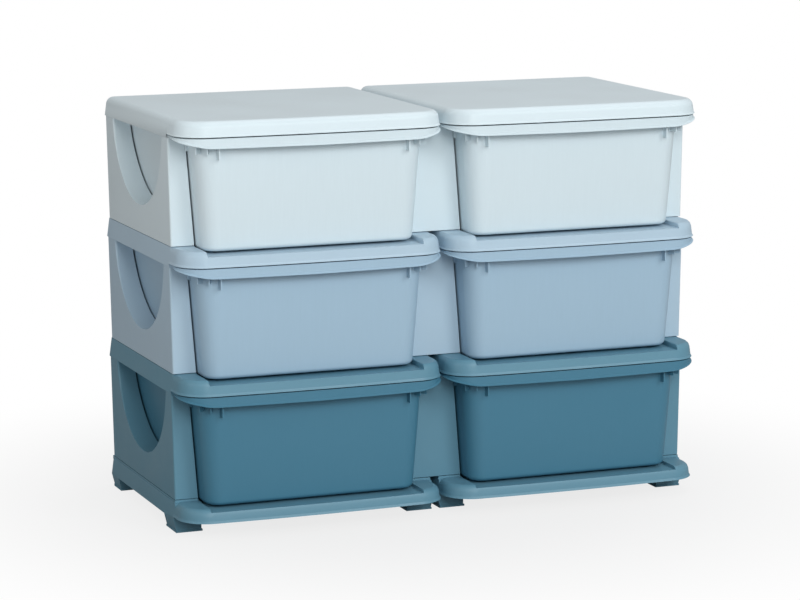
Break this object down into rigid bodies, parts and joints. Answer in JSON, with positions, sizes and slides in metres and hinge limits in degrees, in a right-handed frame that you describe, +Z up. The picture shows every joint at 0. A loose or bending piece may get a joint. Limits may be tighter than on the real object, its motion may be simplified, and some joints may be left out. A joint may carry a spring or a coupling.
{
  "type": "toy storage drawer unit",
  "caption": "Free-standing moulded plastic unit of sliding toy drawers in two joined columns, with hooded pull lips, arched side openings, shelves, soft-edged lids and short feet.",
  "frame": {"origin": "on the floor, under the middle of the whole unit", "axes": "+X to the right seen from the front, +Y to the back, +Z up; the drawers open towards -Y"},
  "size_m": [0.7678, 0.3829, 0.5663],
  "materials": {
    "pale_blue_plastic": "satin",
    "mid_blue_plastic": "satin",
    "deep_blue_plastic": "satin"
  },
  "bodies": {
    "frame": {"base_left": "deep_blue_plastic", "shelf_left_lower": "deep_blue_plastic", "shelf_left_upper": "mid_blue_plastic", "top_cover_left": "pale_blue_plastic", "side_panel_left_bottom": "deep_blue_plastic", "back_panel_left_bottom": "deep_blue_plastic", "side_panel_left_middle": "mid_blue_plastic", "back_panel_left_middle": "mid_blue_plastic", "side_panel_left_top": "pale_blue_plastic", "back_panel_left_top": "pale_blue_plastic", "base_right": "deep_blue_plastic", "shelf_right_lower": "deep_blue_plastic", "shelf_right_upper": "mid_blue_plastic", "top_cover_right": "pale_blue_plastic", "side_panel_right_bottom": "deep_blue_plastic", "back_panel_right_bottom": "deep_blue_plastic", "side_panel_right_middle": "mid_blue_plastic", "back_panel_right_middle": "mid_blue_plastic", "side_panel_right_top": "pale_blue_plastic", "back_panel_right_top": "pale_blue_plastic", "divider_bottom": "deep_blue_plastic", "divider_middle": "mid_blue_plastic", "divider_top": "pale_blue_plastic"},
    "drawer_left_bottom": {"drawer_left_bottom": "deep_blue_plastic"},
    "drawer_left_middle": {"drawer_left_middle": "mid_blue_plastic"},
    "drawer_left_top": {"drawer_left_top": "pale_blue_plastic"},
    "drawer_right_bottom": {"drawer_right_bottom": "deep_blue_plastic"},
    "drawer_right_middle": {"drawer_right_middle": "mid_blue_plastic"},
    "drawer_right_top": {"drawer_right_top": "pale_blue_plastic"}
  },
  "joints": [
    {"name": "drawer_left_bottom_slide", "type": "slide", "parent": "frame", "child": "drawer_left_bottom", "axis": [0, -1, 0], "range_m": [0, 0.25]},
    {"name": "drawer_left_middle_slide", "type": "slide", "parent": "frame", "child": "drawer_left_middle", "axis": [0, -1, 0], "range_m": [0, 0.25]},
    {"name": "drawer_left_top_slide", "type": "slide", "parent": "frame", "child": "drawer_left_top", "axis": [0, -1, 0], "range_m": [0, 0.25]},
    {"name": "drawer_right_bottom_slide", "type": "slide", "parent": "frame", "child": "drawer_right_bottom", "axis": [0, -1, 0], "range_m": [0, 0.25]},
    {"name": "drawer_right_middle_slide", "type": "slide", "parent": "frame", "child": "drawer_right_middle", "axis": [0, -1, 0], "range_m": [0, 0.25]},
    {"name": "drawer_right_top_slide", "type": "slide", "parent": "frame", "child": "drawer_right_top", "axis": [0, -1, 0], "range_m": [0, 0.25]}
  ]
}
